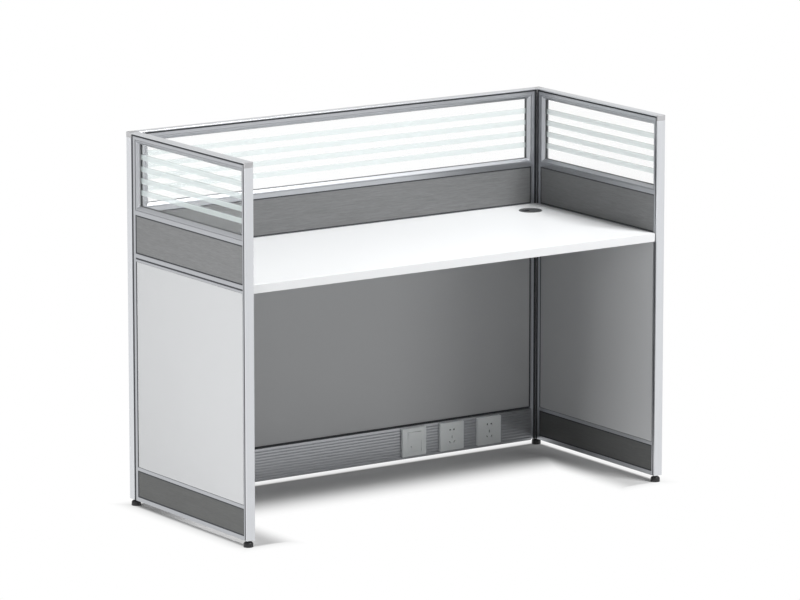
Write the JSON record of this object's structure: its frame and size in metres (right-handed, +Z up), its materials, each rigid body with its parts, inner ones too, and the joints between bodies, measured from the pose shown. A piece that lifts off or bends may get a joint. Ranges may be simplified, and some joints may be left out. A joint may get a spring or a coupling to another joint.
{
  "type": "cubicle workstation",
  "caption": "Desk cubicle: white worktop between aluminium-framed partitions with glazed tops, grey boards, a ribbed cable raceway with outlets and levelling feet.",
  "frame": {"origin": "on the floor under the middle of the overall box", "axes": "+Z up, +X to the user's right, +Y from the open front to the back partition"},
  "size_m": [1.456, 0.634, 1.1],
  "materials": {
    "aluminium_frame": "matt anodised",
    "raceway_aluminium": "matt anodised, fine ribs",
    "window_glass": "clear with frosted bands",
    "dark_seal": "matt",
    "grained_board": "grey laminate with a fine horizontal grain",
    "plain_board": "smooth pale grey laminate",
    "honeycomb": "paper honeycomb, hidden",
    "cap_plastic": "satin grey",
    "foot_plastic": "black, ribbed",
    "insert_nylon": "black, hidden",
    "worktop_board": "white satin laminate",
    "edge_band": "white satin",
    "bracket_steel": "grey powder coat",
    "screw_steel": "zinc plated",
    "grommet_plastic": "dark grey satin",
    "box_plastic": "hidden",
    "socket_plastic": "white",
    "contact_brass": "plain, hidden",
    "plate_plastic": "satin grey"
  },
  "bodies": {
    "workstation": {"left_rails": "aluminium_frame", "left_rear_stile": "aluminium_frame", "left_front_stile": "aluminium_frame", "left_glass": "window_glass", "left_glazing_beads": "aluminium_frame", "left_seals": "dark_seal", "left_upper_boards": "grained_board", "left_lower_boards": "plain_board", "left_skirting_boards": "grained_board", "left_top_cover": "aluminium_frame", "left_honeycomb_fill": "honeycomb", "back_rails": "aluminium_frame", "back_left_stile": "aluminium_frame", "back_right_stile": "aluminium_frame", "back_glass": "window_glass", "back_glazing_beads": "aluminium_frame", "back_seals": "dark_seal", "back_upper_boards": "grained_board", "back_lower_boards": "plain_board", "back_skirting_boards": "grained_board", "back_top_cover": "aluminium_frame", "back_honeycomb_fill": "honeycomb", "right_rails": "aluminium_frame", "right_rear_stile": "aluminium_frame", "right_front_stile": "aluminium_frame", "right_glass": "window_glass", "right_glazing_beads": "aluminium_frame", "right_seals": "dark_seal", "right_upper_boards": "grained_board", "right_lower_boards": "plain_board", "right_skirting_boards": "grained_board", "right_top_cover": "aluminium_frame", "right_honeycomb_fill": "honeycomb", "left_corner_post": "aluminium_frame", "right_corner_post": "aluminium_frame", "front_end_covers": "aluminium_frame", "post_caps": "cap_plastic", "foot_inserts": "insert_nylon", "worktop": "worktop_board", "worktop_edge_band": "edge_band", "worktop_brackets": "bracket_steel", "bracket_screws": "screw_steel", "grommet_ring": "grommet_plastic", "raceway_cover": "raceway_aluminium", "outlet_boxes": "box_plastic", "outlet_bodies": "socket_plastic", "outlet_screws": "screw_steel", "socket_contacts": "contact_brass", "switch_plate": "plate_plastic", "socket_plate_1": "plate_plastic", "socket_plate_2": "plate_plastic"},
    "front_left_foot": {"front_left_foot": "foot_plastic"},
    "front_right_foot": {"front_right_foot": "foot_plastic"},
    "grommet_lid": {"grommet_lid": "grommet_plastic"},
    "rear_left_foot": {"rear_left_foot": "foot_plastic"},
    "rear_right_foot": {"rear_right_foot": "foot_plastic"},
    "socket_shutter_1": {"socket_shutter_1": "socket_plastic"},
    "socket_shutter_2": {"socket_shutter_2": "socket_plastic"},
    "switch_rocker": {"switch_rocker": "plate_plastic"}
  },
  "joints": [
    {"name": "rear_left_foot_level", "type": "slide", "parent": "workstation", "child": "rear_left_foot", "axis": [0, 0, 1], "range_m": [-0.02, 0]},
    {"name": "front_left_foot_level", "type": "slide", "parent": "workstation", "child": "front_left_foot", "axis": [0, 0, 1], "range_m": [-0.02, 0]},
    {"name": "front_right_foot_level", "type": "slide", "parent": "workstation", "child": "front_right_foot", "axis": [0, 0, 1], "range_m": [-0.02, 0]},
    {"name": "rear_right_foot_level", "type": "slide", "parent": "workstation", "child": "rear_right_foot", "axis": [0, 0, 1], "range_m": [-0.02, 0]},
    {"name": "grommet_lid_turn", "type": "hinge", "parent": "workstation", "child": "grommet_lid", "pos_m": [0.61, 0.194, 0.75], "axis": [0, 0, 1], "continuous": true},
    {"name": "switch_rocker_tilt", "type": "hinge", "parent": "workstation", "child": "switch_rocker", "pos_m": [0.242, 0.275, 0.0715], "axis": [1, 0, 0], "range_deg": [-8, 0]},
    {"name": "socket_shutter_1_slide", "type": "slide", "parent": "workstation", "child": "socket_shutter_1", "axis": [1, 0, 0], "range_m": [0, 0.0042], "stiffness_N_per_m": 200, "springref_m": -0.002},
    {"name": "socket_shutter_2_slide", "type": "slide", "parent": "workstation", "child": "socket_shutter_2", "axis": [1, 0, 0], "range_m": [0, 0.0042], "stiffness_N_per_m": 200, "springref_m": -0.002}
  ]
}
